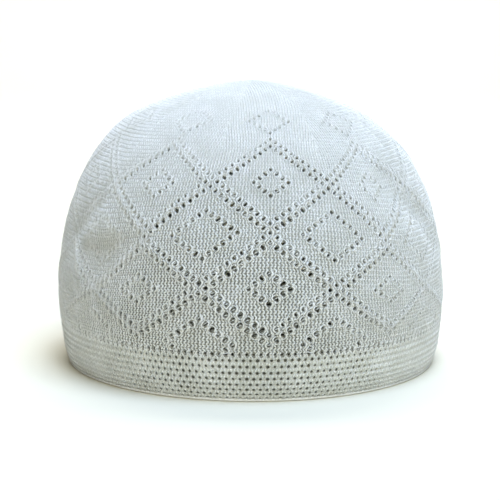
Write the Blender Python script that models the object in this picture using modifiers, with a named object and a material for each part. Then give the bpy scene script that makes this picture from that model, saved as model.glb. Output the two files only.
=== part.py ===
# A knitted prayer cap: a soft dome and the doubled hem that it stands on.
# Metres, +Z up, the front of the cap towards -Y, the origin in the middle of the rim.
import math

import bpy
from mathutils import Vector

CAP_NAME = "prayer_cap"
CUTTERS_NAME = "cutters"

# Driving dimensions
HEIGHT = 0.126
DEPTH_PER_WIDTH = 1.12
BAND_HEIGHT = 0.0205
CROWN_WALL = 0.0016
BAND_WALL = 0.0030
PIECE_GAP = 0.0003
EDGE_HEIGHT = 0.0012
EDGE_STANDS_OUT = 0.0002
EDGE_FLAT_WIDTH = 0.0018

MIDDLE_RADIUS = 0.0001
STANDS_LEVEL_BELOW = 0.040

SEGMENTS_AROUND = 72
FINE_STEPS_PER_ROW = 40
CROWN_STEPS_PER_ROW = 2
BAND_STEPS = 3

# The cap's side, from the rim to the middle of the top.
# height: share of HEIGHT; half_width: metres from the middle to the side
SIDE_ROWS = [
    {"height": 0.000, "half_width": 0.0824},
    {"height": 0.080, "half_width": 0.0849},
    {"height": 0.262, "half_width": 0.0870},
    {"height": 0.470, "half_width": 0.0842},
    {"height": 0.625, "half_width": 0.0781},
    {"height": 0.745, "half_width": 0.0697},
    {"height": 0.838, "half_width": 0.0585},
    {"height": 0.906, "half_width": 0.0456},
    {"height": 0.954, "half_width": 0.0310},
    {"height": 0.987, "half_width": 0.0150},
    {"height": 1.000, "half_width": 0.0000},
]

# Where the cloth bulges or has sunk in, seen from the front.
# azimuth: degrees from the front, to the right; height: metres above the rim
# along and across: half lengths in metres; lean: degrees of the long way from upright, to the right
# depth: metres inwards, and less than nothing where the cloth stands out
FORM_ROWS = [
    {"name": "left shoulder", "azimuth": -90, "height": 0.106, "along": 0.016, "across": 0.050,
     "lean": 0, "depth": -0.0016},
    {"name": "right foot", "azimuth": 90, "height": 0.010, "along": 0.014, "across": 0.060,
     "lean": 0, "depth": -0.0008},
    {"name": "left fold", "azimuth": -62, "height": 0.0700, "along": 0.018, "across": 0.0060,
     "lean": 50, "depth": 0.0018},
    {"name": "left hollow", "azimuth": -67, "height": 0.0560, "along": 0.014, "across": 0.0130,
     "lean": 20, "depth": 0.0016},
    {"name": "left ridge", "azimuth": -63, "height": 0.0470, "along": 0.014, "across": 0.0060,
     "lean": -50, "depth": -0.0008},
    {"name": "right fold", "azimuth": 63, "height": 0.0720, "along": 0.018, "across": 0.0060,
     "lean": -42, "depth": 0.0014},
    {"name": "right hollow", "azimuth": 49, "height": 0.0870, "along": 0.020, "across": 0.0130,
     "lean": -15, "depth": 0.0014},
    {"name": "back hollow", "azimuth": 155, "height": 0.0780, "along": 0.024, "across": 0.0180,
     "lean": 20, "depth": 0.0014},
]

FABRIC_COLOURS = {"crown": (0.79, 0.82, 0.82, 1.0), "band": (0.70, 0.71, 0.64, 1.0)}
FABRIC_ROUGHNESS = 0.92


def clear_scene():
    for thing in list(bpy.data.objects):
        bpy.data.objects.remove(thing, do_unlink=True)


def new_collection(name):
    collection = bpy.data.collections.new(name)
    bpy.context.scene.collection.children.link(collection)
    return collection


def knit_material(name):
    material = bpy.data.materials.new(name + "_knit")
    material.use_nodes = True
    shader = material.node_tree.nodes["Principled BSDF"]
    shader.inputs["Base Color"].default_value = FABRIC_COLOURS[name]
    shader.inputs["Roughness"].default_value = FABRIC_ROUGHNESS
    shader.inputs["Metallic"].default_value = 0.0
    return material


def between(before, start, end, after, share):
    """A point of the smooth curve through four points, between the middle two."""
    return 0.5 * (
        2 * start
        + (end - before) * share
        + (2 * before - 5 * start + 4 * end - after) * share**2
        + (3 * start - before - 3 * end + after) * share**3
    )


def side_curve(steps_per_row):
    """Points (half width, height) up the side, smooth through SIDE_ROWS and level at the top."""
    points = [Vector((row["half_width"], row["height"] * HEIGHT)) for row in SIDE_ROWS]
    below = 2 * points[0] - points[1]
    beyond = Vector((-points[-2].x, points[-2].y))
    points = [below, *points, beyond]
    curve = []
    for index in range(1, len(points) - 2):
        for step in range(steps_per_row):
            curve.append(between(*points[index - 1:index + 3], step / steps_per_row))
    curve.append(points[-2])
    return curve


def with_way_up(curve):
    """The same points with the length of cloth from the rim to each, as (half width, height, way up)."""
    way_up = 0.0
    points = [(curve[0].x, curve[0].y, way_up)]
    for lower, upper in zip(curve, curve[1:]):
        way_up += (upper - lower).length
        points.append((upper.x, upper.y, way_up))
    return points


FINE_SIDE = with_way_up(side_curve(FINE_STEPS_PER_ROW))


def side_at(height):
    """Half width at a height, how fast it grows with height there, and the way up to it."""
    for (low_x, low_z, low_way), (high_x, high_z, high_way) in zip(FINE_SIDE, FINE_SIDE[1:]):
        if low_z <= height <= high_z:
            share = (height - low_z) / (high_z - low_z)
            growth = (high_x - low_x) / (high_z - low_z)
            return low_x + (high_x - low_x) * share, growth, low_way + (high_way - low_way) * share
    return 0.0, 0.0, FINE_SIDE[-1][2]


def form_depth(azimuth, half_width, way_up):
    """How far the cloth lies inside the plain dome, from FORM_ROWS."""
    depth = 0.0
    for row in FORM_ROWS:
        turn = (azimuth - row["azimuth"] + 180) % 360 - 180
        sideways = math.radians(turn) * half_width
        upwards = way_up - side_at(row["height"])[2]
        lean = math.radians(row["lean"])
        along = upwards * math.cos(lean) + sideways * math.sin(lean)
        across = sideways * math.cos(lean) - upwards * math.sin(lean)
        reach = (along / row["along"]) ** 2 + (across / row["across"]) ** 2
        depth += row["depth"] * math.exp(-reach)
    return depth


def onto_form(point):
    """Moves a point of the plain turned shape onto the oval, dented form.

    A point that lay inside the turned side ends as far inside the oval one.
    """
    turned = math.hypot(point.x, point.y)
    if turned < MIDDLE_RADIUS:
        return point.copy()
    half_width, growth, way_up = side_at(point.z)
    east, south = point.x / turned, -point.y / turned
    azimuth = math.degrees(math.atan2(east, south))
    surface = Vector((east * half_width, -south * half_width * DEPTH_PER_WIDTH, point.z))
    level = Vector((east * DEPTH_PER_WIDTH, -south, 0.0)).normalized()
    # Near the rim the cloth moves level, so that the foot stays flat.
    outward = Vector((level.x, level.y, -growth * min(1.0, point.z / STANDS_LEVEL_BELOW))).normalized()
    inset = half_width - turned
    return surface - level * inset - outward * form_depth(azimuth, half_width, way_up)


def turned_shape(name, profile, closed, collection):
    """An object from a profile of (half width, height) points, turned about Z and then formed."""
    mesh = bpy.data.meshes.new(name + "_profile")
    edges = [(index, index + 1) for index in range(len(profile) - 1)]
    if closed:
        edges.append((len(profile) - 1, 0))
    mesh.from_pydata([(x, 0.0, z) for x, z in profile], edges, [])
    turner = bpy.data.objects.new(name + "_profile", mesh)
    collection.objects.link(turner)
    screw = turner.modifiers.new("turn", "SCREW")
    screw.axis = "Z"
    screw.steps = screw.render_steps = SEGMENTS_AROUND
    screw.use_merge_vertices = True
    screw.merge_threshold = 0.00001
    bpy.context.view_layer.update()
    evaluated = turner.evaluated_get(bpy.context.evaluated_depsgraph_get())
    formed = bpy.data.meshes.new_from_object(evaluated)
    bpy.data.objects.remove(turner, do_unlink=True)
    bpy.data.meshes.remove(mesh)
    for vertex in formed.vertices:
        vertex.co = onto_form(vertex.co)
    formed.name = name
    formed.shade_smooth()
    piece = bpy.data.objects.new(name, formed)
    piece.data.materials.clear()
    piece.data.materials.append(knit_material(name))
    collection.objects.link(piece)
    return piece


def make_crown(collection):
    """The hollow dome, from the top of the hem to the closed middle of the top."""
    foot = BAND_HEIGHT + PIECE_GAP
    points = [point for point in side_curve(CROWN_STEPS_PER_ROW) if point.y > foot + 0.004]
    profile = [(point.x, point.y) for point in reversed(points)]
    profile[0] = (0.0, HEIGHT)
    profile.append((side_at(foot)[0], foot))
    crown = turned_shape("crown", profile, False, collection)
    wall = crown.modifiers.new("wall", "SOLIDIFY")
    wall.thickness = CROWN_WALL
    wall.offset = -1
    wall.use_even_offset = True
    wall.use_quality_normals = True
    return crown


def make_band(collection):
    """The hem folded double, with its rounded lower edge and a flat foot."""
    heights = [
        BAND_HEIGHT + (EDGE_HEIGHT - BAND_HEIGHT) * step / BAND_STEPS for step in range(BAND_STEPS + 1)
    ]
    side = SIDE_ROWS[0]["half_width"]
    foot_inset = (BAND_WALL - EDGE_FLAT_WIDTH) / 2
    outer = [(side_at(height)[0], height) for height in heights]
    edge = [
        (side + EDGE_STANDS_OUT, EDGE_HEIGHT * 0.55),
        (side - foot_inset * 0.35, EDGE_HEIGHT * 0.12),
        (side - foot_inset, 0.0),
        (side - foot_inset - EDGE_FLAT_WIDTH, 0.0),
        (side - BAND_WALL + foot_inset * 0.2, EDGE_HEIGHT * 0.3),
    ]
    inner = [(side_at(height)[0] - BAND_WALL, height) for height in reversed(heights)]
    return turned_shape("band", outer + edge + inner, True, collection)


def main():
    clear_scene()
    parts = new_collection(CAP_NAME)
    new_collection(CUTTERS_NAME)
    make_crown(parts)
    make_band(parts)


main()
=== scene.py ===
import math

import bpy
import numpy as np
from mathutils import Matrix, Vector


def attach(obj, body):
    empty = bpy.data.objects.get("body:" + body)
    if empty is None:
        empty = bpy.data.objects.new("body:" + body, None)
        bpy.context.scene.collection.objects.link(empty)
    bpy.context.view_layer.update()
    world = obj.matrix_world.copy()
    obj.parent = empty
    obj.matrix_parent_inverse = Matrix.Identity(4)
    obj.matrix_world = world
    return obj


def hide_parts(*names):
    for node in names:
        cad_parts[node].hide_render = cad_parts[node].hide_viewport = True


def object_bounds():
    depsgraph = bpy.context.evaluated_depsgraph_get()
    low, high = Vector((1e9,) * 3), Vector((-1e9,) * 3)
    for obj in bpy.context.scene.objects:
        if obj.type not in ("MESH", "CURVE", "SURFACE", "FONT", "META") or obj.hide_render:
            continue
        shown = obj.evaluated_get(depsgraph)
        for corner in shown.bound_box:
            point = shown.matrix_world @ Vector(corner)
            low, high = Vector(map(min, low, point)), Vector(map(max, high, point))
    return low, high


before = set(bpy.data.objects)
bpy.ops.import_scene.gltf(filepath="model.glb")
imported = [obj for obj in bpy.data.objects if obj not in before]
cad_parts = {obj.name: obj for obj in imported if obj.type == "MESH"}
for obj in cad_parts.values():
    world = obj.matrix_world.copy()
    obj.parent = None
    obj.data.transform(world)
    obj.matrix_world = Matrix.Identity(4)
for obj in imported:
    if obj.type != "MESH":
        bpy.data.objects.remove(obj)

# A machine-knitted cotton prayer cap. Metres, +Z up, the front of the cap towards -Y.
# The knit is counted in steps and rows. A step is two wales wide, with step 0 near the middle of the front
# and more of them to the right. A row is two courses high, with row 0 at the fold of the hem.

cadLow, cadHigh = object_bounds()


# Small helpers

def linear(hexColour):
    values = [int(hexColour[start:start + 2], 16) / 255 for start in (1, 3, 5)]
    return [v / 12.92 if v <= 0.04045 else ((v + 0.055) / 1.055) ** 2.4 for v in values] + [1.0]


def deselectAll():
    if bpy.context.object and bpy.context.object.mode != "OBJECT":
        bpy.ops.object.mode_set(mode="OBJECT")
    bpy.ops.object.select_all(action="DESELECT")


def makeActive(piece):
    deselectAll()
    piece.select_set(True)
    bpy.context.view_layer.objects.active = piece


def addObject(name, data):
    added = bpy.data.objects.new(name, data)
    bpy.context.scene.collection.objects.link(added)
    return added


# Enters edit mode with only the chosen faces, edges or vertices selected
def editOnly(piece, kind, chosen):
    makeActive(piece)
    mesh = piece.data
    parts = {"VERT": mesh.vertices, "EDGE": mesh.edges, "FACE": mesh.polygons}
    for items in parts.values():
        items.foreach_set("select", np.zeros(len(items), bool))
    parts[kind].foreach_set("select", chosen)
    bpy.context.tool_settings.mesh_select_mode = [kind == name for name in parts]
    bpy.ops.object.mode_set(mode="EDIT")


def leaveEdit():
    bpy.ops.object.mode_set(mode="OBJECT")


# One property of many items, with a column for each of its parts
def readAll(items, name, parts=1, kind=np.int32):
    values = np.empty(len(items) * parts, kind)
    items.foreach_get(name, values)
    return values.reshape(-1, parts) if parts > 1 else values


def readPlaces(items, name="co"):
    return readAll(items, name, 3, np.float32).astype(float)


def writePlaces(piece, places):
    piece.data.vertices.foreach_set("co", places.astype(np.float32).ravel())
    piece.data.update()


# Cuts the upright edges of a piece into equal parts
def cutUpright(piece, leastHeight, cuts):
    heights = readPlaces(piece.data.vertices)[readAll(piece.data.edges, "vertices", 2), 2]
    editOnly(piece, "EDGE", np.abs(heights[:, 0] - heights[:, 1]) > leastHeight)
    bpy.ops.mesh.subdivide(number_cuts=cuts)
    leaveEdit()


# Brings a value that goes round to within half a turn of 0
def wrapped(value, around):
    return (value + around / 2) % around - around / 2


# The camera stands a little above the floor, in front of the cap
view = {
    "aim": (-0.0003, 0.0, 0.04855),
    "distance": 0.825,
    "elevation": 8.84,  # degrees
    "roll": 0.36,  # degrees
    "lens": 130.4,  # mm, on a sensor 36 mm wide
}


def makeCamera():
    data = bpy.data.cameras.new("front_view")
    data.lens = view["lens"]
    data.clip_end = 20
    camera = addObject("front_view", data)
    rise = math.radians(view["elevation"])
    away = Vector((0, -math.cos(rise), math.sin(rise)))
    camera.location = Vector(view["aim"]) + away * view["distance"]
    turn = (-away).to_track_quat("-Z", "Y").to_matrix().to_4x4()
    camera.rotation_euler = turn.to_euler()
    camera.rotation_euler.rotate_axis("Z", math.radians(view["roll"]))
    bpy.context.scene.camera = camera


makeCamera()
print("camera placed")


# The cap's form. The solids have the same side and oval, and some of its dents are shallower in them.
capForm = {
    "height": cadHigh.z,
    "depthPerWidth": 1.12,
    "standsLevelBelow": 0.040,  # below this height the dents move the cloth level
    "dents": 1.6,  # times the depths of formRows
    "fineSteps": 40,  # between two rows of the side
}

# Half width in metres, and height as a share of the cap's
sideRows = [
    (0.0824, 0.000), (0.0849, 0.080), (0.0870, 0.262), (0.0842, 0.470), (0.0781, 0.625), (0.0697, 0.745),
    (0.0585, 0.838), (0.0456, 0.906), (0.0310, 0.954), (0.0150, 0.987), (0.0000, 1.000),
]

# Bulges and hollows of the cloth: degrees round to the right, height, half lengths along and across, degrees
# that it leans to the right, depth inwards and ledge, in metres apart from the degrees. One with a ledge is
# let in on its lower side alone, and the ledge is how far that takes.
formRows = [
    (-90, 0.106, 0.016, 0.050, 0, -0.0010, None),  # left shoulder
    (90, 0.010, 0.014, 0.060, 0, -0.0005, None),  # right foot
    (-62, 0.0700, 0.018, 0.0060, 50, 0.0010, None),  # left fold
    (-67, 0.0560, 0.014, 0.0130, 20, 0.0012, None),  # left hollow
    (-63, 0.0470, 0.014, 0.0060, -50, -0.0006, None),  # left ridge
    (63, 0.0720, 0.018, 0.0060, -42, 0.0014, None),  # right fold
    (49, 0.0870, 0.020, 0.0130, -15, 0.0014, None),  # right hollow
    (155, 0.0780, 0.024, 0.0180, 20, 0.0014, None),  # back hollow
    (-50, 0.0625, 0.0180, 0.0160, -14, 0.0023, 0.0030),  # left tuck, not in the solids
    (-61, 0.0500, 0.0110, 0.0026, -40, -0.0008, None),  # left crease, not in the solids
]


# Points (half width, height) up the side, on a smooth curve through sideRows that is level at the top
def smoothSide():
    rows = np.array([(halfWidth, height * capForm["height"]) for halfWidth, height in sideRows])
    mirrored = (-rows[-2][0], rows[-2][1])
    rows = np.vstack([2 * rows[0] - rows[1], rows, mirrored])
    share = np.arange(capForm["fineSteps"])[:, None] / capForm["fineSteps"]
    stretches = []
    for index in range(1, len(rows) - 2):
        before, start, end, after = rows[index - 1:index + 3]
        stretches.append(0.5 * (
            2 * start
            + (end - before) * share
            + (2 * before - 5 * start + 4 * end - after) * share**2
            + (3 * start - before - 3 * end + after) * share**3
        ))
    return np.vstack(stretches + [rows[-2:-1]])


sideCurve = smoothSide()
sideUp = np.concatenate([[0], np.cumsum(np.hypot(*np.diff(sideCurve, axis=0).T))])  # the cloth's length
sideWay = np.gradient(sideCurve, sideUp, axis=0)
sideWay /= np.hypot(*sideWay.T)[:, None]

# Round the oval, as shares of its length from the front
ovalAngles = np.linspace(-math.pi, math.pi, 721)
ovalSpeed = np.hypot(np.cos(ovalAngles), capForm["depthPerWidth"] * np.sin(ovalAngles))
ovalShares = np.concatenate([[0], np.cumsum((ovalSpeed[1:] + ovalSpeed[:-1]) / 2)])
ovalShares = ovalShares / ovalShares[-1] - 0.5


def dentDepth(angle, halfWidth, up):
    dented = np.zeros_like(up)
    for azimuth, height, halfLength, halfAcross, leaning, depth, ledge in formRows:
        sideways = np.radians(wrapped(np.degrees(angle) - azimuth, 360)) * halfWidth
        upwards = up - np.interp(height, sideCurve[:, 1], sideUp)
        lean = math.radians(leaning)
        along = upwards * math.cos(lean) + sideways * math.sin(lean)
        across = sideways * math.cos(lean) - upwards * math.sin(lean)
        below = 0.5 - 0.5 * np.tanh(along / ledge) if ledge else 1
        dented += depth * below * np.exp(-((along / halfLength) ** 2 + (across / halfAcross) ** 2))
    return dented * capForm["dents"]


# How the knit lies on the form
knit = {
    "steps": 200,
    "rows": 88,  # from the fold to the middle of the top
    "frontStep": -2.58,  # the step in the middle of the front
    "topTwist": 5.9,  # steps that the knit has turned to the right at the top
    "hemRow": 8.5,  # the mesh of the hem ends here
    "narrowFrom": 52,  # from this row up the cap is ten gores
    "gore": 20,  # steps
    "slideMost": 0.6,  # share of the slide that the sides get
}

# Rows, and the cloth's length from the fold to each in metres
rowPlaces = [
    (0, 0.0), (1, 0.0015), (2, 0.0033), (4, 0.0077), (6, 0.01275), (9, 0.02095), (11, 0.02465),
    (20, 0.0440), (30, 0.0646), (40, 0.0844), (88, sideUp[-1]),
]

# Rows, and by how many rows the knit has slid up or down there, where the cap turns to its sides
slideRows = [(9, 0.0), (11, 1.0), (22, -5.0), (33, -7.0), (44, -4.0), (55, -3.0), (66, -3.0), (88, 0.0)]


def upAt(row):
    return np.interp(row, *zip(*rowPlaces))


def halfWidthAt(up):
    return np.interp(up, sideUp, sideCurve[:, 0])


# The middle of the gore that a step is in
def goreMiddle(step):
    return np.round(step / knit["gore"]) * knit["gore"]


# Half of a gore's width, in steps as wide as those of the first narrowed row
def halfGore(row):
    full = knit["gore"] / 2
    return full * np.clip(halfWidthAt(upAt(row)) / halfWidthAt(upAt(knit["narrowFrom"])), 1e-6, 1)


# The knit is pulled open low at the front, and towards the sides and the top it closes
opened = {
    "step": (-4.0, -8.0),  # of the place where it is most open, in the hem and in the crown
    "across": (38.0, 27.0),  # steps, in the same two
    "changeRows": (7, 12),  # from the hem's values to the crown's
    "row": 10.0,
    "upwards": 30.0,  # rows
    "downwards": 40.0,
    "closedRelief": 0.36,  # share of the knit's relief where it is closed
}


def openAt(step, row):
    middle, reach = (np.interp(row, opened["changeRows"], opened[name]) for name in ("step", "across"))
    off = row - opened["row"]
    upwards = off / np.where(off > 0, opened["upwards"], opened["downwards"])
    return np.exp(-((wrapped(step - middle, knit["steps"]) / reach) ** 2) - upwards**2)


# Knit never lies quite straight: its wales and courses drift a little to and fro
drift = {
    "across": 0.16,  # steps
    "upwards": 0.12,  # rows
    "spacing": (5.0, 5.5),  # steps and rows between two places of its grid
    "hem": (4, 0.35),  # rows above the hem over which it grows, and the share of "across" that the hem has
    "top": (12, 4),  # rows below the middle of the top where it starts to fade, and where it is gone
    "seed": 3,
}


def driftGrids():
    columns, lines = round(knit["steps"] / drift["spacing"][0]), round(knit["rows"] / drift["spacing"][1])
    return np.random.default_rng(drift["seed"]).uniform(-1, 1, (2, columns, lines + 1))


driftAcross, driftUpwards = driftGrids()


def smoothGrid(grid, step, row):
    column, line = step / drift["spacing"][0], np.clip(row / drift["spacing"][1], 0, grid.shape[1] - 1.001)
    firstColumn, firstLine = np.floor(column).astype(int), np.floor(line).astype(int)
    right, up = column - firstColumn, line - firstLine
    right, up = (share**2 * (3 - 2 * share) for share in (right, up))
    left, beside = firstColumn % len(grid), (firstColumn + 1) % len(grid)
    low = grid[left, firstLine] * (1 - right) + grid[beside, firstLine] * right
    high = grid[left, firstLine + 1] * (1 - right) + grid[beside, firstLine + 1] * right
    return low * (1 - up) + high * up


# A share that goes from closedShare up to 1 where the knit is pulled open
def shareAt(closedShare, step, row):
    return closedShare + (1 - closedShare) * openAt(step, row)


# Steps, rows and lift (metres outwards from the form) to points on the cap
def onCap(step, row, lift):
    row = np.minimum(row, knit["rows"])
    middle = goreMiddle(step)
    narrowed = np.clip((step - middle) / halfGore(row), -1, 1) * knit["gore"] / 2
    step = np.where(row > knit["narrowFrom"], middle + narrowed, step)
    (growing, hemShare), (fading, gone) = drift["hem"], drift["top"]
    free = np.clip((row - knit["hemRow"]) / growing, 0, 1)
    free = free * np.clip((knit["rows"] - gone - row) / (fading - gone), 0, 1)
    across = (hemShare + (1 - hemShare) * free) * drift["across"] * smoothGrid(driftAcross, step, row)
    row = row + free * drift["upwards"] * smoothGrid(driftUpwards, step, row)
    turned = step + across - knit["frontStep"] + knit["topTwist"] * (row / knit["rows"]) ** 3
    angle = np.interp(wrapped(turned / knit["steps"], 1), ovalShares, ovalAngles)
    slide = np.minimum(np.sin(angle) ** 2, knit["slideMost"])
    up = upAt(row + slide * np.interp(row, *zip(*slideRows)))
    halfWidth, height = (np.interp(up, sideUp, values) for values in sideCurve.T)
    wayOut, wayUp = (np.interp(up, sideUp, values) for values in sideWay.T)
    east, south = np.sin(angle), np.cos(angle)
    level = np.stack([east * capForm["depthPerWidth"], -south], -1)
    level /= np.hypot(*level.T)[:, None]
    outward = np.column_stack([
        level * wayUp[:, None],
        -wayOut * np.minimum(1, height / capForm["standsLevelBelow"]),
    ])
    outward /= np.linalg.norm(outward, axis=1)[:, None]
    surface = np.column_stack([east * halfWidth, -south * halfWidth * capForm["depthPerWidth"], height])
    return surface + outward * (lift - dentDepth(angle, halfWidth, up))[:, None]


# The same for the vertices of many copies, a line of steps, rows and lifts for each copy
def copiesOnCap(steps, rows, lifts):
    return onCap(steps.ravel(), rows.ravel(), lifts.ravel()).reshape(*steps.shape, 3)


# The eyelets
eyelet = {
    "latticeAcross": 20,  # steps between two diamonds
    "latticeRows": (22, 44),  # middles of the big diamonds
    "latticeRings": (3, 9, 11),  # steps and rows from the middle, added up
    "betweenRows": (11, 33),  # middles of the diamonds between them
    "betweenRing": 5,
    "topRow": 61,
    "topRing": 4,
    "half": (0.335, 0.525),  # half width in steps and half height in rows, where the knit is open
    "hemHalf": (0.27, 0.315),
    "closed": (0.81, 0.85),  # shares of them where the knit is closed
    "hemClosed": (0.47, 0.58),
    "reach": 1.25,  # how far from its middle an eyelet moves the yarn, in steps
    "hemReach": 0.5,
    "lean": 0.58,  # steps to a row, away from the line that the eyelet is in
    "doubleLine": (0.82, 1.12),  # shares for the upper and the lower line of two that run up to the right
    "pointRoom": 0.3,  # rows that the knit over and under an eyelet gives way to its points
    "slitEdge": 0.02,  # steps that no yarn comes nearer to the middle of a slit
    "uneven": 0.16,
    "seed": 7,
}
hemTop = math.ceil(knit["hemRow"])  # the last row of small eyelets
inCrown = np.arange(knit["rows"] + 1) > hemTop


def ringsAt(step, row, middleStep, middleRow):
    return np.abs(wrapped(step - middleStep, eyelet["latticeAcross"])) + np.abs(row - middleRow)


# Which cells of the knit have an eyelet. sizes[wale, row] is 1 or 0, and its middle is at step wale / 2.
def chartEyelets():
    sizes = np.zeros((2 * knit["steps"], knit["rows"] + 1))
    step, row = np.meshgrid(np.arange(knit["steps"]), np.arange(knit["rows"] + 1), indexing="ij")
    charted = ringsAt(step, row, 0, eyelet["topRow"]) == eyelet["topRing"]
    for middle in eyelet["latticeRows"]:
        for ring in eyelet["latticeRings"]:
            charted |= ringsAt(step, row, 0, middle) == ring
    for middle in eyelet["betweenRows"]:
        charted |= ringsAt(step, row, eyelet["latticeAcross"] / 2, middle) == eyelet["betweenRing"]
    sizes[::2] = charted & inCrown
    # The hem is eyelets all over, with every other row half a step along
    for hemRow in range(1, hemTop + 1):
        sizes[(hemRow + 1) % 2::2, hemRow] = 1
    return sizes


# Which way the line of each eyelet runs: 1 up to the right, -1 up to the left, 0 at a corner and in the hem
def lineWays():
    large = (eyeletSizes > 0) & inCrown
    ways = np.zeros(large.shape)
    for way in (-1, 1):
        for end in (-1, 1):
            ways += way * np.roll(large, (2 * way * end, end), (0, 1))
    return np.sign(ways) * large


# No two eyelets are quite the same, and the lower of two lines that run up to the right is pulled wider
def varySizes(sizes):
    large = (sizes > 0) & inCrown
    for end, share in zip((1, -1), eyelet["doubleLine"]):
        beside = np.roll(large, (-2 * end, end), (0, 1)) & (eyeletWays > 0)
        sizes = np.where(beside, sizes * share, sizes)
    draw = np.random.default_rng(eyelet["seed"])
    return sizes * (1 + eyelet["uneven"] * draw.uniform(-1, 1, sizes.shape))


eyeletSizes = chartEyelets()
eyeletWays = lineWays()
eyeletSizes = varySizes(eyeletSizes)


# Half width, half height, reach and lean of the eyelet in a cell. Without one, its size is 0.
def eyeletAt(wale, line):
    place = (wale % len(eyeletSizes), np.clip(line, 0, knit["rows"]))
    inHem = line <= hemTop
    shut = 1 - openAt(wale / 2, line)
    half = []
    for index in (0, 1):
        full, closed = (
            np.where(inHem, eyelet[small][index], eyelet[large][index])
            for small, large in (("hemHalf", "half"), ("hemClosed", "closed")))
        half.append(eyeletSizes[place] * full * (1 - (1 - closed) * shut))
    lean = -eyelet["lean"] * eyeletWays[place]
    return *half, np.where(inHem, eyelet["hemReach"], eyelet["reach"]), lean


# The yarn parts sideways round the eyelets, as if each began as a slit at its middle
def partYarn(step, row):
    moved = np.zeros(step.shape)
    firstWale, firstLine = np.floor(step * 2).astype(int), np.floor(row).astype(int)
    for line in (firstLine, firstLine + 1):
        for wale in (firstWale + edge for edge in range(-2, 4)):
            halfWidth, halfHeight, reach, lean = eyeletAt(wale, line)
            away, off = step - wale / 2, row - line
            upwards = np.clip(np.abs(off) / np.maximum(halfHeight, 1e-3), 0, 1)
            share = np.clip(1 - np.abs(away) / reach, 0, 1)
            moved += np.sign(away) * halfWidth * (1 - upwards**2) * share
            moved += lean * off * np.clip(1 - off**2, 0, 1) * share
    return step + moved


# Between two lines of eyelets the knit stands up like a rope
relief = {
    "ropeLift": 0.00030,
    "ropeWidth": 1.0,  # steps
}


def ropeAt(step, row):
    near = np.zeros(step.shape)
    middleRing = sum(eyelet["latticeRings"][-2:]) / 2
    for middle in eyelet["latticeRows"]:
        off = ringsAt(step, row, 0, middle) - middleRing
        near = np.maximum(near, np.exp(-(off / relief["ropeWidth"]) ** 2))
    return relief["ropeLift"] * near * (row > hemTop)


print("form and knit worked out")


tubeRadius = knit["steps"] / (2 * math.pi)  # of knit with one unit to a step and to a row


# A tube of such knit, before it is laid on the form. turn is the step of its first upright edge.
def knitTube(name, columns, turn, lowRow, rows):
    deselectAll()
    bpy.ops.mesh.primitive_cylinder_add(
        vertices=columns, radius=tubeRadius, depth=rows, end_fill_type="NOTHING",
        location=(0, 0, lowRow + rows / 2), rotation=(0, 0, 2 * math.pi * turn / knit["steps"]),
    )
    tube = bpy.context.active_object
    tube.name = tube.data.name = name
    bpy.ops.object.transform_apply(location=True, rotation=True, scale=True)
    cutUpright(tube, 0.5, rows - 1)
    return tube


# Steps, rows and depth into the wall, of the vertices or faces of such a tube
def chartPlaces(items, name="co"):
    places = readPlaces(items, name)
    steps = np.arctan2(places[:, 0], -places[:, 1]) / (2 * math.pi) * knit["steps"]
    return steps, places[:, 2], tubeRadius - np.hypot(places[:, 0], places[:, 1])


def hasEyelet(steps, rows):
    return eyeletAt(np.round(steps * 2).astype(int), np.round(rows).astype(int))[0] > 0


# The wale and row of the nearest eyelet, if one is within a wale
def nearEyelet(steps, rows):
    wale = np.round(steps * 2)
    other = wale + np.sign(steps * 2 - wale)
    wale = np.where(hasEyelet(wale / 2, rows) | ~hasEyelet(other / 2, rows), wale, other)
    return wale, np.round(rows)


# Opens each charted eyelet: its cell's face is inset and its middle deleted
def openEyelets(tube):
    steps, rows, _ = chartPlaces(tube.data.polygons, "center")
    editOnly(tube, "FACE", hasEyelet(steps, rows))
    bpy.ops.mesh.inset(thickness=0.2, use_individual=True)
    bpy.ops.mesh.delete(type="FACE")
    leaveEdit()


wallDepth = 0.5  # of such a tube, where one unit is one step


def thicken(tube):
    makeActive(tube)
    wall = tube.modifiers.new("wall", "SOLIDIFY")
    wall.thickness = wallDepth
    wall.offset = -1
    bpy.ops.object.modifier_apply(modifier="wall")


# Opens a second UV map for baking, given (u, v) for each corner of the faces
def setBakeMap(mesh, places):
    mesh.uv_layers.new(name="OFBake").data.foreach_set("uv", np.asarray(places, float).ravel())


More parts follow.
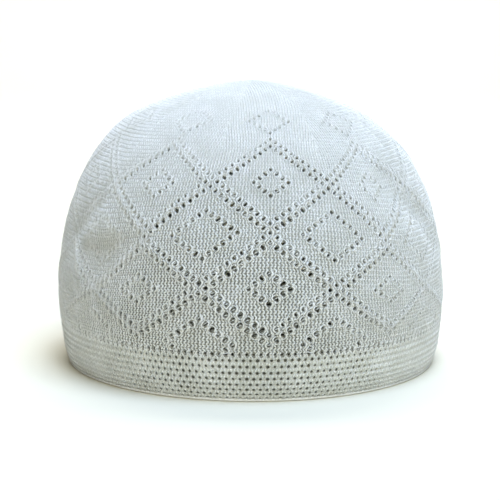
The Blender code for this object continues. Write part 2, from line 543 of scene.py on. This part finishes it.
# Materials and maps of a tube's faces. Its outside is the ground seen between the stitches.
def paintTube(tube):
    mesh = tube.data
    low, high = (limit(readPlaces(mesh.vertices)[:, 2]) for limit in (np.min, np.max))
    vertex = readAll(mesh.loops, "vertex_index")
    sizes = readAll(mesh.polygons, "loop_total")
    face = np.repeat(np.arange(len(sizes)), sizes)
    steps, rows, depth = (values[vertex] for values in chartPlaces(mesh.vertices))
    firsts = steps[np.cumsum(sizes) - sizes][face]
    steps = np.where(steps - firsts > knit["steps"] / 2, steps - knit["steps"], steps)
    steps = np.where(firsts - steps > knit["steps"] / 2, steps + knit["steps"], steps)
    least, most = np.full(len(sizes), np.inf), np.zeros(len(sizes))
    np.minimum.at(least, face, depth)
    np.maximum.at(most, face, depth)
    outside, inside = (most < wallDepth / 2)[face], (least > wallDepth / 2)[face]
    mesh.polygons.foreach_set("material_index", (most < wallDepth / 2).astype(np.int32))
    chart = mesh.uv_layers.new(name="knit")
    chart.data.foreach_set("uv", np.column_stack([steps / knit["steps"], rows / knit["rows"]]).ravel())
    # In the bake map the inside lies below and the outside above, with the tube's ends in strips between
    # them. The walls of an eyelet go in its empty middle.
    wall, isDeep = ~outside & ~inside, depth > wallDepth / 2
    isEnd = wall & ((rows < low + 0.01) | (rows > high - 0.01))
    shrunk = wall & ~isEnd & isDeep
    wale, line = nearEyelet(steps, rows)
    across = np.where(shrunk, wale / 2 + (steps - wale / 2) / 2, steps)
    upwards = np.where(shrunk, line + (rows - line) / 2, rows)
    share = 0.48 * (upwards - low) / (high - low) + np.where(inside, 0.01, 0.51)
    strip = np.where(rows < low + 0.01, 0.492, 0.502) + np.where(isDeep, 0, 0.006)
    room = knit["steps"] / 2 + 2  # half of the map in steps
    setBakeMap(mesh, np.column_stack([(across + room) / (2 * room + 2), np.where(isEnd, strip, share)]))


# Gives the eyelets their pointed shape and lays the tube on the form
def layOnForm(tube, outerLift, innerLift, cornerShare, closedRelief=1, turn=0):
    paintTube(tube)
    steps, rows, depth = chartPlaces(tube.data.vertices)
    wale, line = nearEyelet(steps, rows)
    across, upwards = steps - wale / 2, rows - line
    halfWidth, halfHeight = eyeletAt(wale.astype(int), line.astype(int))[:2]
    rim = (halfWidth > 0) & (np.hypot(across, upwards) < 0.47)
    isPoint = np.abs(across) < 0.1
    share = np.where(isPoint, 1, np.where(np.abs(upwards) < 0.1, 0, cornerShare))
    slitRows = line + np.sign(upwards) * halfHeight * share
    slitSteps = wale / 2 + np.where(isPoint, 0, np.sign(across) * 1e-4)
    # The cell's upper and lower edges make room for the eyelet's points
    edge = (np.abs(steps - np.round(steps)) < 0.1) & (np.abs(rows - np.floor(rows) - 0.5) < 0.1)
    for way in (-1, 1):
        beside = edge & hasEyelet(steps, rows + way / 2) & (rows + way / 2 > hemTop + 0.5)
        rows = np.where(beside, rows - way * eyelet["pointRoom"], rows)
    rows = np.where(rim, slitRows, rows)
    steps = partYarn(np.where(rim, slitSteps, steps), rows)
    lift = np.where(depth < wallDepth / 2, outerLift * shareAt(closedRelief, steps, rows), innerLift)
    lift = lift + ropeAt(steps, rows)
    pulled = tube.data.attributes.new("pulledOpen", "FLOAT", "POINT")
    pulled.data.foreach_set("value", openAt(steps, rows).astype(np.float32))
    writePlaces(tube, onCap(steps + turn, rows, lift))
    editOnly(tube, "VERT", np.ones(len(tube.data.vertices), bool))
    bpy.ops.mesh.remove_doubles(threshold=0.00002)
    bpy.ops.mesh.delete_loose()
    bpy.ops.mesh.select_all(action="DESELECT")
    leaveEdit()
    tube.data.shade_smooth()


crown = {
    "rows": 80,  # to half a row past the middle of the top, so that it closes there
    "outerLift": -0.00045,  # the ground of the knit lies just under its stitches
    "innerLift": -0.00130,
    "cornerShare": 0.62,  # how high the corners of an eyelet are, as a share of its points
}


def makeCrown():
    tube = knitTube("crown_ground", knit["steps"], 0.5, knit["hemRow"], crown["rows"])
    steps, rows, _ = chartPlaces(tube.data.polygons, "center")
    eyelets = hasEyelet(steps, rows)
    # A cut through each edge of an eyelet's cell makes it eight-sided
    editOnly(tube, "FACE", eyelets)
    bpy.ops.mesh.subdivide(number_cuts=1)
    leaveEdit()
    steps, rows, _ = chartPlaces(tube.data.vertices)
    middles = (np.abs(steps - np.round(steps)) < 0.1) & (np.abs(rows - np.round(rows)) < 0.1)
    editOnly(tube, "VERT", middles)
    bpy.ops.mesh.dissolve_verts()
    leaveEdit()
    openEyelets(tube)
    thicken(tube)
    layOnForm(tube, crown["outerLift"], crown["innerLift"], crown["cornerShare"], opened["closedRelief"])
    return tube


crownGround = makeCrown()
print("crown ground", len(crownGround.data.polygons))


# One leg and one rope are modelled, and the knit is made of their copies. A wale goes up in a zigzag, a fat
# leg that leans to the right and a thin one that leans to the left by turns. There are fewer than two wales
# of legs to a step, since the ropes at the eyelets take some up.
stitch = {
    "walesToStep": 1.8,
    "firstWale": -50,  # of the front piece
    "width": (0.285, 0.225),  # half width in steps, of the fat and the thin leg
    "closedWidth": (0.265, 0.235),  # where the knit is closed
    "length": (0.66, 0.64),  # half length in rows
    "lean": (0.34, -0.34),  # steps from a leg's middle to its upper end
    "closedLean": 0.70,  # share of it where the knit is closed
    "crest": (0.00030, 0.00027),  # metres above the form
    "sides": -0.00055,
    "clear": (0.30, 0.25),  # steps that a leg keeps from a slit, up to so many rows past its ends
    "uneven": 0.045,  # steps
    "unevenLift": 0.00013,
    "seed": 11,
}

# A rope of yarn goes up each side of an eyelet. One end leans over the eyelet's point to the next one along
# the line, and the other ends beside the one before, so the ropes of a line are two long chains.
rope = {
    "from": 0.22,  # steps from the slit's middle
    "width": 0.25,  # half width in steps
    "length": (1.02, 0.50),  # rows to the end that leans over the point, and to the other
    "lean": (0.60, 0.15),  # steps, of the same two ends
    "leanFrom": 0.5,  # share of the length
    "leanCurve": 1.3,  # 1 would be a straight lean
    "cornerLength": 0.72,
    "crest": 0.00052,
    "sides": -0.00025,
    "closedRelief": 0.25,
}

# A strand crosses most of the wide eyelets outside and parts them into two dark lobes
frontStrandRows = [
    {"share": 0.8, "closedShare": 0.15, "width": 0.13, "up": 0.03, "slope": 0.50, "lift": -0.00006},
]
# Two more cross behind each of these, and behind most of the others
backStrandRows = [
    {"share": 1.0, "closedShare": 0.8, "width": 0.14, "up": 0.24, "slope": 0.30, "lift": -0.00100},
    {"share": 1.0, "closedShare": 0.6, "width": 0.14, "up": -0.26, "slope": 0.34, "lift": -0.00110},
]
strand = {
    "length": 0.52,  # half length in steps
    "thick": 0.00036,  # metres
    "uneven": 0.17,  # rows
    "unevenSlope": 0.3,  # share of the slope
    "seed": 5,
}


# A leg of a stitch, low and four-sided, with its crest nearer to its upper end. Strands are copies of it too.
def modelLeg():
    deselectAll()
    bpy.ops.mesh.primitive_cone_add(vertices=4, radius1=1, radius2=0, depth=1, location=(0, 0, 0.5))
    leg = bpy.context.active_object
    bpy.ops.object.transform_apply(location=True)
    editOnly(leg, "VERT", readPlaces(leg.data.vertices)[:, 2] > 0.5)
    bpy.ops.transform.translate(value=(0, 0.1, 0))
    leaveEdit()
    mesh = leg.data
    # In the map its four sides share one square, and its base has another
    mesh.uv_layers.remove(mesh.uv_layers[0])
    places = []
    for face in mesh.polygons:
        middle, reach = (0.75, 0.20) if len(face.vertices) == 4 else (0.27, 0.22)
        for corner in face.vertices:
            place = mesh.vertices[corner].co
            places.append((middle + reach * place.x, 0.5 + 0.42 * place.y))
    setBakeMap(mesh, places)
    return leg


# Three-sided, with a point at each end
def modelRope():
    deselectAll()
    bpy.ops.mesh.primitive_cylinder_add(vertices=3, radius=1, depth=1.6, end_fill_type="TRIFAN")
    piece = bpy.context.active_object
    mesh = piece.data
    cutUpright(piece, 1, 4)
    for end in (-1, 1):
        places = readPlaces(mesh.vertices)
        isMiddle = np.hypot(places[:, 0], places[:, 1]) < 0.1
        editOnly(piece, "VERT", isMiddle & (places[:, 2] * end > 0))
        bpy.ops.transform.translate(value=(0, 0, 0.2 * end))
        leaveEdit()
    mesh.uv_layers.remove(mesh.uv_layers[0])
    places = []
    for face in mesh.polygons:
        strip = round((math.atan2(face.center.x, face.center.y) / (2 * math.pi) - 0.5 / 3) * 3) % 3
        for corner in face.vertices:
            place = mesh.vertices[corner].co
            turn = (math.atan2(place.x, place.y) / (2 * math.pi) * 3 - strip) % 3
            turn = 0.5 if math.hypot(place.x, place.y) < 0.1 else round(turn) % 3
            places.append(((place.z + 1) / 2, (strip + 0.04 + 0.92 * turn) / 3))
    setBakeMap(mesh, places)
    return piece


# One mesh of many copies of a small one, given the places of every copy's vertices
def joinCopies(name, small, places):
    count, corners = places.shape[:2]
    loops = readAll(small.data.loops, "vertex_index")
    starts = readAll(small.data.polygons, "loop_start")
    smallMap = readAll(small.data.uv_layers["OFBake"].data, "uv", 2, np.float32)
    mesh = bpy.data.meshes.new(name)
    mesh.vertices.add(count * corners)
    mesh.loops.add(count * len(loops))
    mesh.polygons.add(count * len(starts))
    mesh.vertices.foreach_set("co", places.astype(np.float32).ravel())
    copies = np.arange(count)
    mesh.loops.foreach_set("vertex_index", (loops + copies[:, None] * corners).astype(np.int32).ravel())
    mesh.polygons.foreach_set("loop_start", (starts + copies[:, None] * len(loops)).astype(np.int32).ravel())
    mesh.update(calc_edges=True)
    mesh.shade_smooth()
    # Each copy has its own small square of the map
    squares = math.ceil(math.sqrt(count))
    corner = np.stack([copies % squares, copies // squares], -1)[:, None]
    setBakeMap(mesh, (corner + 0.04 + 0.92 * smallMap) / squares)
    draw = np.random.default_rng(count)
    shade = mesh.attributes.new("shade", "FLOAT", "POINT")
    shade.data.foreach_set("value", np.repeat(draw.uniform(0, 1, count), corners).astype(np.float32))
    return addObject(name, mesh)


# The vertices of all stitches of some wales between two rows
def stitchPlaces(leg, wales, lowRow, highRow):
    shape = readPlaces(leg.data.vertices)
    courses = np.arange(round(lowRow * 2), round(highRow * 2))
    wale, course = (grid.ravel() for grid in np.meshgrid(wales, courses, indexing="ij"))
    middle, row = (wale + 0.5) / stitch["walesToStep"], course / 2 + 0.25
    # Two wales of each gore go on to the middle of the top, where they are gathered
    edge = np.maximum(halfGore(row) - 0.02, 0.3)
    whole = (row < knit["narrowFrom"]) | (np.abs(middle - goreMiddle(middle)) < edge)
    course, middle, row = course[whole], middle[whole], row[whole]
    off = np.random.default_rng(stitch["seed"] + len(row)).uniform(-1, 1, (3, len(row)))
    middle = middle + off[0] * stitch["uneven"]
    # A leg that would run into an eyelet goes beside it, and none of it crosses the slit
    slit, bounded = np.round(middle), np.zeros(len(row), bool)
    away = np.where(middle < slit, -1, 1)
    for line in (np.floor(row).astype(int), np.ceil(row).astype(int)):
        halfHeight = eyeletAt((slit * 2).astype(int), line)[1]
        near = (halfHeight > 0) & (np.abs(row - line) < halfHeight + stitch["clear"][1])
        middle = np.where(near, slit + away * np.maximum(np.abs(middle - slit), stitch["clear"][0]), middle)
        bounded |= near
    row = row + off[1] * stitch["uneven"]
    width, closed, length, lean, crest = (
        np.where(course % 2 == 0, *stitch[name])[:, None]
        for name in ("width", "closedWidth", "length", "lean", "crest"))
    width = width * shareAt(closed / width, middle[:, None], row[:, None])
    lean = lean * shareAt(stitch["closedLean"], middle[:, None], row[:, None])
    steps = middle[:, None] + lean * shape[:, 1] + shape[:, 0] * width
    rows = row[:, None] + shape[:, 1] * length
    beside = (slit + away * np.maximum(away * (steps.T - slit), eyelet["slitEdge"])).T
    steps = partYarn(np.where(bounded[:, None], beside, steps), rows)
    lift = np.where(shape[:, 2] > 0.5, crest + off[2][:, None] * stitch["unevenLift"], stitch["sides"])
    lift = lift * shareAt(opened["closedRelief"], middle, row)[:, None] + ropeAt(steps, rows)
    return copiesOnCap(steps, rows, lift)


# The crown's eyelets and which way their lines run
def crownEyelets():
    wale, line = np.nonzero(eyeletSizes * inCrown)
    middle = wrapped(wale / 2, knit["steps"])
    whole = (line < knit["narrowFrom"]) | (np.abs(middle - goreMiddle(middle)) < halfGore(line) - 0.5)
    wale, line, middle = wale[whole], line[whole], middle[whole]
    return middle, line.astype(float), eyeletWays[wale, line]


def ropePlaces(piece, middle, line, way):
    shape = readPlaces(piece.data.vertices)
    middle, line, way = (np.repeat(values, 2)[:, None] for values in (middle, line, way))
    side = np.tile((-1, 1), len(line) // 2)[:, None]
    along = shape[:, 2]
    over = np.where(side * way < 0, along > 0, along < 0)
    end = np.clip((np.abs(along) - rope["leanFrom"]) / (1 - rope["leanFrom"]), 0, 1) ** rope["leanCurve"]
    lean = way * np.sign(along) * np.where(over, *rope["lean"]) * end
    thick = np.sqrt(np.clip(1 - (along / 1.05) ** 2, 0, 1))  # a little is left at the ends
    across = shape[:, 0] / 0.866  # how far the three corners reach sideways
    steps = middle + side * rope["from"] + lean + across * rope["width"] * thick
    length = np.where(way == 0, rope["cornerLength"], np.where(over, *rope["length"]))
    rows = line + along * length
    # Beside the eyelet no part of the rope crosses the slit
    halfHeight = eyeletAt(np.round(middle * 2).astype(int), line.astype(int))[1]
    beside = middle + side * np.maximum(side * (steps - middle), eyelet["slitEdge"])
    steps = partYarn(np.where(np.abs(rows - line) < halfHeight, beside, steps), rows)
    lift = np.where(shape[:, 1] > 0.5, rope["crest"] * thick**2, rope["sides"])
    lift = lift * shareAt(rope["closedRelief"], middle, line) + ropeAt(steps, rows)
    return copiesOnCap(steps, rows, lift)


def strandPlaces(leg, kinds, middle, line):
    shape = readPlaces(leg.data.vertices)
    draw = np.random.default_rng(strand["seed"])
    found = []
    for kind in kinds:
        off = draw.uniform(-1, 1, (2, len(line)))
        chosen = draw.uniform(0, 1, len(line)) < kind["share"] * shareAt(kind["closedShare"], middle, line)
        steps = middle[chosen, None] + shape[:, 1] * strand["length"]
        rows = (line + kind["up"] + off[0] * strand["uneven"])[chosen, None] + shape[:, 0] * kind["width"]
        slope = 1 - strand["unevenSlope"] + strand["unevenSlope"] * off[1][chosen, None]
        rows = rows + shape[:, 1] * kind["slope"] * slope
        lift = kind["lift"] + (shape[:, 2] - 0.5) * strand["thick"] + ropeAt(steps, rows)
        found.append(copiesOnCap(steps, rows, lift))
    return np.concatenate(found)


leg, ropePiece = modelLeg(), modelRope()
crownStitches = []
quarter = round(knit["steps"] * stitch["walesToStep"] / 4)
for index, name in enumerate(("front", "right", "back", "left")):
    wales = np.arange(quarter) + quarter * index + stitch["firstWale"]
    places = stitchPlaces(leg, wales, knit["hemRow"], knit["rows"])
    crownStitches.append(joinCopies("crown_stitches_" + name, leg, places))
    print("crown stitches", name, len(places))

eyeletMiddles = crownEyelets()
crownRopes = joinCopies("eyelet_ropes", ropePiece, ropePlaces(ropePiece, *eyeletMiddles))
frontStrands = joinCopies("eyelet_strands", leg, strandPlaces(leg, frontStrandRows, *eyeletMiddles[:2]))
backStrands = joinCopies("eyelet_back_strands", leg, strandPlaces(leg, backStrandRows, *eyeletMiddles[:2]))
print("eyelets", len(eyeletMiddles[0]))


# The hem is folded double. Its two layers are the same mesh of eyelets, and its fold is a rounded edge.
hem = {
    "foldRow": 0.5,  # the layers start here, above the folded edge
    "outer": (-0.00040, -0.00125),  # metres outwards, of the outer layer's two faces
    "facing": (-0.00175, -0.00280),
    "foldMiddle": (-0.00140, 0.00065),  # outwards and up, in metres
    "foldHalf": (0.00155, 0.00072),
    "foldBump": 0.00006,  # a small bump to each wale
    "cornerShare": 0.35,
    "crossWidth": (0.16, 0.27),  # half width in steps of the strands between the eyelets, open and closed
    "crossLength": 0.60,  # half length in rows
    "crossLean": 0.27,  # steps
    "crossCrest": 0.00026,
    "crossFrom": 0.4,  # the row that they start from, in the fold
    "closedRelief": 0.22,
}


def makeHemLayer(name, lifts, closedRelief, turn):
    rows = round(knit["hemRow"] - hem["foldRow"])
    tube = knitTube(name, 2 * knit["steps"], 0, hem["foldRow"], rows)
    # Every second upright edge goes, so that the cells lie like bricks, one to each eyelet
    ends = readAll(tube.data.edges, "vertices", 2)
    steps, heights, _ = (values[ends] for values in chartPlaces(tube.data.vertices))
    upright = np.abs(heights[:, 0] - heights[:, 1]) > 0.5
    editOnly(tube, "EDGE", upright & hasEyelet(steps[:, 0], heights.mean(1)))
    bpy.ops.mesh.dissolve_edges(use_verts=False)
    leaveEdit()
    openEyelets(tube)
    thicken(tube)
    layOnForm(tube, *lifts, hem["cornerShare"], closedRelief, turn)
    return tube


def makeFold():
    deselectAll()
    bpy.ops.mesh.primitive_torus_add(
        major_segments=knit["steps"], minor_segments=12, major_radius=tubeRadius, minor_radius=1)
    fold = bpy.context.active_object
    fold.name = fold.data.name = "hem_fold"
    # Four pieces to a step, so that each wale has its bump
    steps = chartPlaces(fold.data.vertices)[0]
    apart = np.abs(np.diff(steps[readAll(fold.data.edges, "vertices", 2)], axis=1)[:, 0])
    editOnly(fold, "EDGE", apart > 0.5)
    bpy.ops.mesh.subdivide(number_cuts=3)
    leaveEdit()
    steps, upwards, inwards = chartPlaces(fold.data.vertices)
    middle, half = hem["foldMiddle"], hem["foldHalf"]
    bump = hem["foldBump"] * np.cos(steps * 4 * math.pi + math.pi) * (inwards < 0)
    height = np.maximum(middle[1] + half[1] * upwards, 0)
    places = onCap(steps, height / rowPlaces[1][1], middle[0] - inwards * half[0] + bump)
    places[:, 2] = height
    writePlaces(fold, places)
    fold.data.shade_smooth()
    return fold


hemGround = makeHemLayer("hem_ground", hem["outer"], hem["closedRelief"], 0)
hemFacing = makeHemLayer("hem_facing", hem["facing"], 1, 0.5)  # its eyelets lie between the outer ones
hemFold = makeFold()
print("hem", len(hemGround.data.polygons), len(hemFold.data.polygons))


# Strands that cross like a lattice between the hem's eyelets
def crossPlaces(leg):
    shape = readPlaces(leg.data.vertices)
    wale, line = np.meshgrid(np.arange(2 * knit["steps"]), np.arange(hemTop), indexing="ij")
    wale, line = wale.ravel(), line.ravel()
    row = line + 0.5
    way = np.where((wale + line) % 2 == 0, 1, -1)
    off = np.random.default_rng(stitch["seed"]).uniform(-1, 1, (3, len(row), 1))
    steps = (wale / 2 + 0.25)[:, None] + way[:, None] * hem["crossLean"] * shape[:, 1]
    width, closed = hem["crossWidth"]
    width = width * shareAt(closed / width, wale / 2, row)[:, None]
    steps = steps + shape[:, 0] * width + off[0] * stitch["uneven"]
    rows = np.maximum(row[:, None] + shape[:, 1] * hem["crossLength"], hem["crossFrom"])
    lift = np.where(shape[:, 2] > 0.5, hem["crossCrest"] + off[2] * stitch["unevenLift"], stitch["sides"])
    lift = lift * shareAt(hem["closedRelief"], wale / 2, row)[:, None]
    return copiesOnCap(steps, rows, lift)


hemStitches = joinCopies("hem_stitches", leg, crossPlaces(leg))
print("hem stitches", len(hemStitches.data.polygons) // 5)
for piece in (leg, ropePiece):
    bpy.data.objects.remove(piece, do_unlink=True)


# Materials

# A setting's name is a socket's name, its number where names repeat, or one of the node's own options
def addNode(tree, kind, settings=None, links=None):
    node = tree.nodes.new("ShaderNode" + kind)
    for name, value in (settings or {}).items():
        if isinstance(name, int) or name in node.inputs:
            node.inputs[name].default_value = value
        else:
            setattr(node, name, value)
    for name, source in (links or {}).items():
        tree.links.new(source, node.inputs[name])
    return node


def newMaterial(name):
    material = bpy.data.materials.new(name)
    material.use_nodes = True
    tree = material.node_tree
    tree.nodes.clear()
    return material, tree


# Combed cotton yarn, machine-knitted, bleached and washed soft: matt and a little fuzzy, with slightly
# darker and creamier lengths, and with some light coming through
yarn = {
    "pale": "#F3F4F1",
    "dark": "#DDDED6",
    "blotch": 90,  # patches to a metre, about 11 mm each
    "fibre": 1600,  # tufts to a metre, 0.6 mm each. Real fibres are finer, but this is as fine as shows.
    "roughness": 0.92,
    "sheen": 0.05,
    "through": 0.6,  # loose cotton lets light through
    "depth": 0.0014,  # metres
    "uneven": 0.45,  # share of the way to dark that one stitch may be further than another
    "archHeight": 0.0004,  # metres
}


def makeYarn(name, pale, dark, bumpHeight, closed=None, purl=False):
    material, tree = newMaterial(name)
    place = addNode(tree, "TexCoord").outputs["Object"]
    blotch = addNode(tree, "TexNoise", {"Scale": yarn["blotch"], "Detail": 3.0}, {"Vector": place})
    fibre = addNode(tree, "TexNoise", {"Scale": yarn["fibre"], "Detail": 2.0}, {"Vector": place})
    both = addNode(tree, "Math", {"operation": "MULTIPLY"}, {0: blotch.outputs[0], 1: fibre.outputs[0]})
    share = addNode(tree, "MapRange", {"From Min": 0.12, "From Max": 0.38}, {"Value": both.outputs[0]})
    # No two stitches take the bleach alike
    shade = addNode(tree, "Attribute", {"attribute_name": "shade"})
    share = addNode(tree, "Math", {
        "operation": "MULTIPLY_ADD", "use_clamp": True, 1: -yarn["uneven"],
    }, {0: shade.outputs["Fac"], 2: share.outputs[0]})
    colour = addNode(tree, "Mix", {"data_type": "RGBA", 6: linear(dark), 7: linear(pale)},
                     {"Factor": share.outputs[0]})
    if closed:
        # Where the knit isn't pulled open its gaps are shallow, so the painted shade in them fades to the
        # paler closed colour
        pulled = addNode(tree, "Attribute", {"attribute_name": "pulledOpen"})
        share = addNode(tree, "MapRange", {"From Min": 0.05, "From Max": 0.75},
                        {"Value": pulled.outputs["Fac"]})
        colour = addNode(tree, "Mix", {"data_type": "RGBA", 6: linear(closed)},
                         {"Factor": share.outputs[0], 7: colour.outputs[2]})
    bump = addNode(tree, "Bump", {"Distance": bumpHeight}, {"Height": fibre.outputs["Fac"]})
    if purl:
        # The wrong side of the knit: a small arch of yarn to each wale and course, laid like bricks
        chart = addNode(tree, "UVMap", {"uv_map": "knit"})
        courses = (knit["steps"] * stitch["walesToStep"], 2 * knit["rows"], 1)
        scaled = addNode(tree, "VectorMath", {"operation": "MULTIPLY", 1: courses}, {0: chart.outputs[0]})
        arches = addNode(tree, "TexBrick", {
            "Scale": 1.0, "Mortar Size": 0.16, "Mortar Smooth": 1.0, "Brick Width": 1.0, "Row Height": 1.0,
        }, {"Vector": scaled.outputs[0]})
        bump = addNode(tree, "Bump", {"Distance": yarn["archHeight"], "invert": True},
                       {"Height": arches.outputs["Fac"], "Normal": bump.outputs[0]})
    shader = addNode(tree, "BsdfPrincipled", {
        "Roughness": yarn["roughness"], "Sheen Weight": yarn["sheen"], "Sheen Roughness": 0.6,
        "Specular IOR Level": 0.2, "Subsurface Weight": yarn["through"], "Subsurface Scale": yarn["depth"],
        "Subsurface Radius": (1.0, 0.95, 0.85),
    }, {"Base Color": colour.outputs[2], "Normal": bump.outputs[0]})
    addNode(tree, "OutputMaterial", None, {"Surface": shader.outputs[0]})
    return material


# The stitches stand up into the light, so they are the whitest
stitchYarn = makeYarn("bleached_cotton_yarn_knitted", yarn["pale"], yarn["dark"], 0.00012)
# The wrong side is a little greyer, with its yarn in small arches
insideYarn = makeYarn("bleached_cotton_yarn_on_the_inside", "#ECEDE8", "#D6D7CE", 0.00015, purl=True)
# Between open stitches and behind the eyelets the yarn lies deep, and the grey given to it there is painted
# shade
groundPaintedShadeYarn = makeYarn("cotton_yarn_with_painted_shade_between_the_stitches", "#9B9C93", "#7C7D74", 0.00015, "#D2D3CB")
# Painted shade on the strands that cross behind the eyelets
eyeletPaintedShadeYarn = makeYarn("cotton_yarn_with_painted_shade_behind_the_eyelets", "#A8A9A1", "#8B8C83", 0.00015)
# The hem's mesh is flatter, so it gets less painted shade than the crown's ground
meshPaintedShadeYarn = makeYarn("cotton_yarn_of_the_hem_mesh_with_painted_shade", "#D6D7CF", "#BDBEB4", 0.00015, "#D8D9D1")
# The fold is pressed smooth, and shows as a pale even line; its paler colour is painted light
foldPaintedLightYarn = makeYarn("bleached_cotton_yarn_pressed_in_the_fold_with_painted_light", "#F5F6F3", "#E4E5DE", 0.00008)

for piece in (*crownStitches, crownRopes, frontStrands, hemStitches):
    piece.data.materials.append(stitchYarn)
backStrands.data.materials.append(eyeletPaintedShadeYarn)
# A tube's inside gets the wrong side's yarn, and its outside the painted shade of the ground between the
# stitches
for piece, outside in ((crownGround, groundPaintedShadeYarn), (hemGround, meshPaintedShadeYarn), (hemFacing, groundPaintedShadeYarn)):
    piece.data.materials.append(insideYarn)
    piece.data.materials.append(outside)
hemFold.data.materials.append(foldPaintedLightYarn)


# The studio: a wide pale floor and big soft lights
studio = {
    "floor": (3.2, 4.4),  # metres wide and deep
    "behind": 2.6,  # how far behind the cap the backdrop rises
    "rise": 2.4,
    "bend": 0.9,
    "floorColour": "#DED9C9",
    "floorPatches": "#DAD7C7",
    "skyColour": "#DDE4EA",
    "skyStrength": 0.03,
}

# Name, size and place in metres, energy in watts, colour, and the point that it is aimed at
lightRows = [
    ("overhead", 0.9, (0.28, -0.30, 1.55), 32.0, "#CBE0FF", (0, 0, 0.06)),
    ("front", 1.2, (0.16, -1.6, 0.9), 20.5, "#F8F8EC", (0, 0, 0.06)),
    ("low_left", 0.9, (-1.2, -0.9, 0.30), 0.3, "#FFB040", (0, 0, 0.06)),
    ("backdrop", 1.6, (0, 1.2, 2.2), 80.0, "#FFFDFA", (0, 2.6, 0.5)),
]


def makeStudio():
    # A board that bends up behind the cap
    deselectAll()
    wide, deep = studio["floor"]
    bpy.ops.mesh.primitive_plane_add(size=1, location=(0, studio["behind"] - deep / 2, 0))
    floor = bpy.context.active_object
    floor.name = "floor"
    floor.scale = (wide, deep, 1)
    bpy.ops.object.transform_apply(location=True, scale=True)
    isBack = readPlaces(floor.data.vertices)[:, 1] > studio["behind"] - 0.01
    editOnly(floor, "EDGE", isBack[readAll(floor.data.edges, "vertices", 2)].all(1))
    bpy.ops.mesh.extrude_region_move(TRANSFORM_OT_translate={"value": (0, 0, studio["rise"])})
    leaveEdit()
    places = readPlaces(floor.data.vertices)
    isFold = (places[:, 1] > studio["behind"] - 0.01) & (places[:, 2] < 0.01)
    editOnly(floor, "EDGE", isFold[readAll(floor.data.edges, "vertices", 2)].all(1))
    bpy.ops.mesh.bevel(offset=studio["bend"], segments=16, profile=0.5)
    leaveEdit()
    floor.data.shade_smooth()
    # Matt paint, rolled on: even and pale, with faint clouds
    material, tree = newMaterial("pale_painted_board")
    place = addNode(tree, "TexCoord").outputs["Object"]
    cloud = addNode(tree, "TexNoise", {"Scale": 3.0, "Detail": 2.0}, {"Vector": place})
    roughness = addNode(tree, "MapRange", {"To Min": 0.75, "To Max": 0.85}, {"Value": cloud.outputs["Fac"]})
    paint = addNode(tree, "Mix", {
        "data_type": "RGBA", 6: linear(studio["floorColour"]), 7: linear(studio["floorPatches"]),
    }, {"Factor": cloud.outputs["Fac"]})
    shader = addNode(tree, "BsdfPrincipled", None,
                     {"Base Color": paint.outputs[2], "Roughness": roughness.outputs[0]})
    addNode(tree, "OutputMaterial", None, {"Surface": shader.outputs[0]})
    floor.data.materials.append(material)
    for name, size, place, energy, colour, aim in lightRows:
        data = bpy.data.lights.new(name, "AREA")
        data.size = size
        data.energy = energy
        data.color = linear(colour)[:3]
        lamp = addObject(name, data)
        lamp.location = place
        lamp.rotation_euler = (Vector(aim) - lamp.location).to_track_quat("-Z", "Y").to_euler()
    sky = bpy.data.worlds.new("studio")
    sky.use_nodes = True
    background = sky.node_tree.nodes["Background"]
    background.inputs["Color"].default_value = linear(studio["skyColour"])
    background.inputs["Strength"].default_value = studio["skyStrength"]
    bpy.context.scene.world = sky
    bpy.context.scene.view_settings.view_transform = "Standard"


makeStudio()
print("studio made")

crownPieces = (crownGround, *crownStitches, crownRopes, frontStrands, backStrands)
hemPieces = (hemGround, hemFacing, hemFold, hemStitches)
for piece in crownPieces:
    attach(piece, "root")
for piece in hemPieces:
    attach(piece, "root")
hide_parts("crown")
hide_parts("band")
